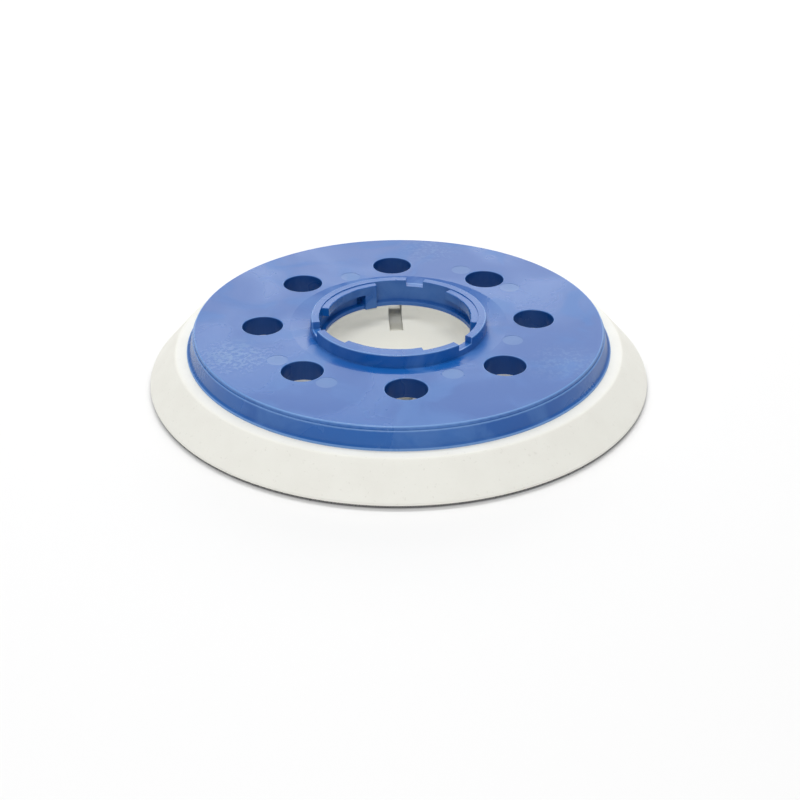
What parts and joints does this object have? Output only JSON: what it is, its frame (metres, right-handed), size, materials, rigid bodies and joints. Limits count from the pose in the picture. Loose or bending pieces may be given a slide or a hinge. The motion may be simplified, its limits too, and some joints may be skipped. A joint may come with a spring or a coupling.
{
  "type": "orbital sander backing pad",
  "caption": "Round sanding pad: moulded plate with a bayonet collar, tapered foam cushion and hook face, pierced by a ring of dust ports.",
  "frame": {"origin": "centre of the face that takes the abrasive disc, at the tips of the hooks", "axes": "+Z along the pad's axis, from the hook face up through the collar; dust ports lie on +X and +Y and midway between them"},
  "size_m": [0.15, 0.15, 0.0197],
  "materials": {
    "moulded_plate": "satin blue glass-filled nylon with moulding marks",
    "foam": "off-white moulded polyurethane foam with a fine skin",
    "tape_weave": "dark woven carrier",
    "hooks": "dark nylon monofilament hooks"
  },
  "bodies": {
    "root": {"backing_plate": "moulded_plate", "foam_pad": "foam", "hook_carrier": "tape_weave", "hook_pile": "hooks"}
  },
  "joints": []
}
